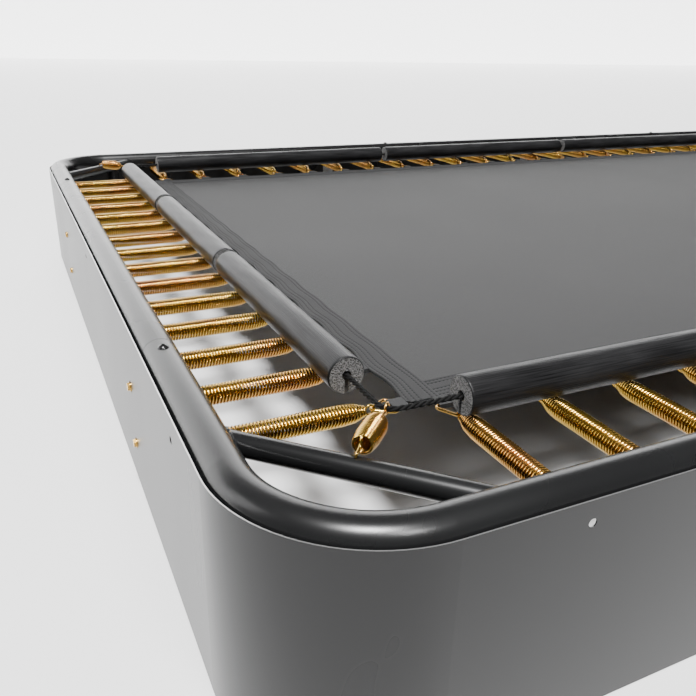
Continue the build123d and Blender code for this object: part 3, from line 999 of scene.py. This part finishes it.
@dataclass
class FoamTubes:
    """Slit foam tubes in a thin film, lying on the springs along each side."""

    layout: Layout
    radius: float = 0.0260
    bore: float = 0.0065
    slit: float = 0.0025
    inset: float = 0.197
    height: float = 0.2885
    first: float = 0.300
    gap: float = 0.020
    end_count: int = 3
    side_count: int = 4
    seed: int = 7

    def build(self) -> None:
        """Makes one piece for each side."""
        rng = np.random.default_rng(self.seed)
        for side in Side:
            tubes = Surface()
            is_end = side.is_end()
            half = (self.layout.rail_y if is_end else self.layout.rail_x) - self.first
            count = self.end_count if is_end else self.side_count
            length = (2 * half - self.gap * (count - 1)) / count
            for i in range(count):
                start = -half + i * (length + self.gap)
                self.add_tube(tubes, side, start, length, rng)
            kind = "end" if is_end else "side"
            name = side.name.lower()
            piece = tubes.build(f"{kind}_foam_tubes_{name}", Coat.FILM, Coat.CUT)
            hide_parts(f"{kind}_foam_{name}")
            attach(piece, "frame")

    def add_tube(
        self, tubes: Surface, side: Side, start: float, length: float, rng: np.random.Generator
    ) -> None:
        """Adds one tube.

        The outside is a circle less a low, slow ripple, drawn in at both ends over a few
        millimetres, open at the slit underneath. The bore is a plain circle.

        Args:
            tubes: the surface that takes the tube.
            side: which side it lies along.
            start: where it starts along the side.
            length: its length.
            rng: the source of its ripple.
        """
        ease = np.array([0.0, 0.0006, 0.0018, 0.004])
        shrink = np.array([0.0016, 0.0006, 0.0001, 0.0])
        along = np.concatenate([ease, np.linspace(0.012, length - 0.012, 70), (length - ease)[::-1]])
        inset = np.concatenate([shrink, np.zeros(70), shrink[::-1]])
        edge = math.asin(self.slit / self.radius)
        angle = np.linspace(-math.pi / 2 + edge, 1.5 * math.pi - edge, 57)
        inner_edge = math.asin(self.slit / self.bore)
        inner = np.linspace(-math.pi / 2 + inner_edge, 1.5 * math.pi - inner_edge, 57)
        phases = rng.uniform(0.0, TAU, 6)
        ripple = np.zeros((len(along), len(angle)))
        for k, phase in enumerate(phases):
            wave = np.sin(along[:, None] * (9.0 + 11.0 * k) + phase)
            ripple += wave * np.sin((k + 2) * angle[None, :] + phase * 2.0)
        reach = self.radius - 0.0004 + 0.00011 * ripple - inset[:, None]
        outer = self.placed(side, start, along, reach, angle)
        hollow = self.placed(side, start, along, np.full_like(reach, self.bore), inner)
        turned = side in (Side.LEFT, Side.FRONT)
        arc = np.broadcast_to(angle * self.radius, reach.shape)
        run = np.broadcast_to((start + along)[:, None], reach.shape)
        places = np.stack([run, arc], axis=-1)
        lips = [np.stack([outer[:, k], hollow[:, k]], axis=1) for k in (0, -1)]
        shares = np.array([0.0, 0.3, 0.65, 1.0])[:, None, None]
        caps = [outer[k] + (hollow[k] - outer[k]) * shares for k in (0, -1)]
        self.add_faces(tubes, outer, turned, 0, places)
        self.add_faces(tubes, hollow, not turned, 1)
        self.add_faces(tubes, lips[0], not turned, 1)
        self.add_faces(tubes, lips[1], turned, 1)
        self.add_faces(tubes, caps[0], not turned, 1)
        self.add_faces(tubes, caps[1], turned, 1)

    @staticmethod
    def add_faces(
        tubes: Surface, points: np.ndarray, flip: bool, slot: int, places: np.ndarray | None = None
    ) -> None:
        """Adds a grid, turned over where its faces would point inwards."""
        if flip:
            points = points[::-1]
            places = None if places is None else places[::-1]
        tubes.add_grid(points, slot=slot, places=places)

    def placed(
        self, side: Side, start: float, along: np.ndarray, reach: np.ndarray, angle: np.ndarray
    ) -> np.ndarray:
        """Points round the tube's axis at a reach and an angle, in the frame's own axes.

        Args:
            side: which side the tube lies along.
            start: where it starts along the side.
            along: distances from its start.
            reach: the radius at each place and angle.
            angle: angles round the axis, from the inward direction towards up.

        Returns:
            Places by angles by three.
        """
        inward = np.array([*side.value, 0.0])
        run = np.abs(np.array([side.value[1], side.value[0], 0.0]))
        axis = -inward * np.array([self.layout.rail_x, self.layout.rail_y, 0.0]) + inward * self.inset
        centre = axis + (start + along)[:, None, None] * run + np.array([0.0, 0.0, self.height])
        spoke = np.cos(angle)[:, None] * inward + np.sin(angle)[:, None] * np.array([0.0, 0.0, 1.0])
        return centre + reach[..., None] * spoke[None]


@dataclass
class Rope:
    """Three strands twisted round one closed line through the tubes and the corner loops."""

    layout: Layout
    inset: float = 0.197
    height: float = 0.2885
    bend: float = 0.020
    strand: float = 0.00195
    offset: float = 0.00200
    pitch: float = 0.030
    steps: int = 8

    def line(self) -> tuple[np.ndarray, np.ndarray]:
        """The rope's middle line and its sideways direction: straight runs joined by quarter circles.

        Returns:
            The points and, at each, the direction across the line in plan.
        """
        half_x = self.layout.rail_x - self.inset - self.bend
        half_y = self.layout.rail_y - self.inset - self.bend
        step = self.pitch / self.steps
        points = []
        sides = []
        corners = ((half_x, -half_y), (half_x, half_y), (-half_x, half_y), (-half_x, -half_y))
        for i, (x, y) in enumerate(corners):
            turn = np.linspace(-0.5, 0.0, 9) * math.pi + i * math.pi / 2
            spoke = np.stack([np.cos(turn), np.sin(turn), np.zeros_like(turn)], axis=1)
            arc = np.array([x, y, self.height]) + self.bend * spoke
            following = np.array([*corners[(i + 1) % 4], self.height]) + self.bend * spoke[-1]
            span = np.linalg.norm(following - arc[-1])
            share = np.linspace(0.0, 1.0, int(span / step))[1:-1, None]
            run = arc[-1] + share * (following - arc[-1])
            points.extend([arc, run])
            sides.extend([spoke, np.tile(spoke[-1], (len(run), 1))])
        return np.concatenate(points), np.concatenate(sides)

    def build(self) -> None:
        """Winds the strands: each stands off the middle line at an angle that grows with distance."""
        line, side = self.line()
        line = np.concatenate([line, line[:1]])
        side = np.concatenate([side, side[:1]])
        gone = np.concatenate([[0.0], np.cumsum(np.linalg.norm(np.diff(line, axis=0), axis=1))])
        turns = round(gone[-1] / self.pitch)
        up = np.array([0.0, 0.0, 1.0])
        rope = Surface()
        section = np.linspace(0.0, TAU, 6, endpoint=False)
        for k in range(3):
            angle = gone / gone[-1] * turns * TAU + k * TAU / 3
            spoke = side * np.cos(angle)[:, None] + up * np.sin(angle)[:, None]
            across = up * np.cos(angle)[:, None] - side * np.sin(angle)[:, None]
            centre = line + self.offset * spoke
            ring = centre[:, None] + self.strand * circles(spoke, across, len(section))
            around = np.broadcast_to(section * self.strand, ring.shape[:2])
            run = np.broadcast_to(gone[:, None], ring.shape[:2])
            rope.add_grid(ring, True, places=np.stack([run, around], axis=-1))
        piece = rope.build("foam_rope", Coat.ROPE)
        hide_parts("foam_cord")
        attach(piece, "frame")


# ---- weld beads -------------------------------------------------------------------------------


@dataclass
class Welds:
    """Rough beads where the corner braces meet the rails."""

    layout: Layout
    rail: float = 0.025
    brace: float = 0.0140
    drop: float = 0.005
    reach: float = 0.255
    bead: float = 0.0021

    def build(self) -> None:
        """Makes the beads at all four corners as one piece."""
        beads = Surface()
        for sign_x, sign_y in ((1, 1), (-1, 1), (-1, -1), (1, -1)):
            for on_end in (True, False):
                beads.add_grid(self.ring(sign_x, sign_y, on_end), True)
        piece = beads.build("brace_welds", Coat.RAIL)
        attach(piece, "frame")

    def ring(self, sign_x: int, sign_y: int, on_end: bool) -> np.ndarray:
        """One bead.

        Its line is where the brace's circle, pushed along the brace's axis, meets the rail's
        round side. The bead's radius swells and sinks in small ripples along it.

        Args:
            sign_x: 1 on the left, -1 on the right.
            sign_y: 1 in front, -1 at the back.
            on_end: True where the brace meets the end rail.

        Returns:
            Places along the bead by points round it by three.
        """
        turn = np.linspace(0.0, TAU, 73)
        side = self.brace * np.cos(turn)
        rise = self.brace * np.sin(turn) - self.drop
        surface = np.sqrt(self.rail**2 - rise**2)
        along = self.reach - math.sqrt(2.0) * side - surface
        line = np.stack([surface, along, rise], axis=1)
        if not on_end:
            line = line[:, [1, 0, 2]]
        line[:, 0] = -sign_x * (self.layout.rail_x - line[:, 0])
        line[:, 1] = -sign_y * (self.layout.rail_y - line[:, 1])
        line[:, 2] += self.layout.rail_z
        spoke = line - line[:-1].mean(axis=0)
        tangent = unit(np.gradient(line, axis=0))
        tangent[0] = tangent[-1] = unit(line[1] - line[-2])
        spoke = unit(spoke - tangent * np.sum(spoke * tangent, axis=1, keepdims=True))
        across = np.cross(tangent, spoke)
        radius = self.bead * (1.0 + 0.22 * np.sin(turn * 17.0))
        points = line[:, None] + radius[:, None, None] * circles(spoke, across, 8)
        if sign_x * sign_y > 0 and on_end or sign_x * sign_y < 0 and not on_end:
            points = points[:, ::-1]
        return points


# ---- finishes of the carried-over parts ---------------------------------------------------------


@dataclass
class Frame:
    """The rails, walls, posts and fixings, which keep their own shapes."""

    coats: tuple = (
        (("corner_rail", "end_rail", "side_rail", "corner_brace", "corner_posts", "end_posts"), Coat.RAIL),
        (("side_posts", "post_feet", "wall_clips"), Coat.RAIL),
        (("wall_corner", "wall_end", "wall_side"), Coat.SHEET),
        (("rail_sleeves", "joint_strips"), Coat.STEEL),
        (("rail_screws",), Coat.SCREW),
        (("panel_bolts", "panel_nuts"), Coat.BOLT),
        (("end_rings", "side_rings"), Coat.WIRE),
        (("end_tabs", "side_tabs"), Coat.TAB),
    )

    def dress(self) -> None:
        """Gives each part its finish."""
        for name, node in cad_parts.items():
            for stems, coat in self.coats:
                if name.startswith(stems):
                    for slot in node.material_slots:
                        slot.material = coat.material()
                    LOG.info("%s: %s", name, coat.name)


# ---- studio -------------------------------------------------------------------------------------


@dataclass
class Studio:
    """A pale floor, soft lights and the camera."""

    eye: tuple = (-2.128, -1.535, 0.675)
    azimuth: float = 25.52
    down: float = 23.19
    roll: float = 1.32
    lens: float = 37.04
    floor_half: float = 90.0
    backdrop_half: float = 60.0
    backdrop_away: float = 24.0
    backdrop_high: float = 18.0
    backdrop_glow: float = 2.1
    sun_power: float = 8.5
    sun_spread: float = 14.0
    sun_tilt: tuple = (15.0, -6.0)
    sky: float = 0.10

    def build(self) -> None:
        """Makes the floor, the lights and the camera."""
        self.floor()
        self.backdrop()
        self.light("front_top", (-1.5, -3.0, 3.1), (-1.75, -1.1, 0.3), 0.6, 60.0)
        self.light("left", (-5.0, 0.5, 2.2), (-1.5, 0.0, 0.2), 1.6, 30.0)
        sun = bpy.data.lights.new("sun", "SUN")
        sun.energy = self.sun_power
        sun.angle = math.radians(self.sun_spread)
        holder = bpy.data.objects.new("sun", sun)
        holder.rotation_euler = (*map(math.radians, self.sun_tilt), 0.0)
        bpy.context.scene.collection.objects.link(holder)
        world = bpy.data.worlds.new("studio")
        world.use_nodes = True
        world.node_tree.nodes["Background"].inputs[0].default_value = (1.0, 1.0, 1.0, 1.0)
        world.node_tree.nodes["Background"].inputs[1].default_value = self.sky
        bpy.context.scene.world = world
        self.camera()

    def floor(self) -> None:
        """Makes the plain pale floor."""
        half = self.floor_half
        corners = [(-half, -half, -MM), (half, -half, -MM), (half, half, -MM), (-half, half, -MM)]
        mesh = bpy.data.meshes.new("floor")
        mesh.from_pydata(corners, [], [[0, 1, 2, 3]])
        shader = Shader("pale_floor")
        mesh.materials.append(shader.set(Base_Color=(0.86, 0.86, 0.86, 1.0), Roughness=0.6))
        floor = bpy.data.objects.new("floor", mesh)
        bpy.context.scene.collection.objects.link(floor)

    def backdrop(self) -> None:
        """Makes the bright plain backdrop behind the floor."""
        mesh = bpy.data.meshes.new("backdrop")
        wide, far, high = self.backdrop_half, self.backdrop_away, self.backdrop_high
        corners = [(-wide, far, -MM), (wide, far, -MM), (wide, far, high), (-wide, far, high)]
        mesh.from_pydata(corners, [], [[0, 1, 2, 3]])
        shader = Shader("bright_backdrop")
        white = (1.0, 1.0, 1.0, 1.0)
        glow = shader.set(Base_Color=white, Emission_Color=white, Emission_Strength=self.backdrop_glow)
        mesh.materials.append(glow)
        sheet = bpy.data.objects.new("backdrop", mesh)
        bpy.context.scene.collection.objects.link(sheet)

    def light(self, name: str, place: tuple, target: tuple, size: float, power: float) -> None:
        """Adds a soft square light.

        Args:
            name: its name.
            place: where it is.
            target: where it points.
            size: its side in metres.
            power: its power in watts.
        """
        lamp = bpy.data.lights.new(name, "AREA")
        lamp.size = size
        lamp.energy = power
        holder = bpy.data.objects.new(name, lamp)
        holder.location = place
        holder.rotation_euler = (Vector(target) - Vector(place)).to_track_quat("-Z", "Y").to_euler()
        bpy.context.scene.collection.objects.link(holder)

    def camera(self) -> None:
        """Sets the camera: a compass turn, a look down and a slight roll."""
        lens = bpy.data.cameras.new("camera")
        lens.lens = self.lens
        lens.sensor_width = 36.0
        lens.clip_end = 100.0
        camera = bpy.data.objects.new("camera", lens)
        turn = Matrix.Rotation(math.radians(-self.azimuth), 4, "Z")
        look = Matrix.Rotation(math.radians(90.0 - self.down), 4, "X")
        tilt = Matrix.Rotation(math.radians(self.roll), 4, "Z")
        camera.matrix_world = Matrix.Translation(self.eye) @ turn @ look @ tilt
        bpy.context.scene.collection.objects.link(camera)
        bpy.context.scene.camera = camera


def main() -> None:
    """Builds everything in order."""
    logging.basicConfig(level=logging.INFO, format="%(name)s %(message)s")
    layout = Layout()
    Frame().dress()
    Springs(layout).build()
    bed = Bed(layout)
    sheet = bed.build()
    border = BedBorder(bed).build()
    FoamTubes(layout).build()
    Rope(layout).build()
    Welds(layout).build()
    Studio().build()


if __name__ == "__main__":
    main()
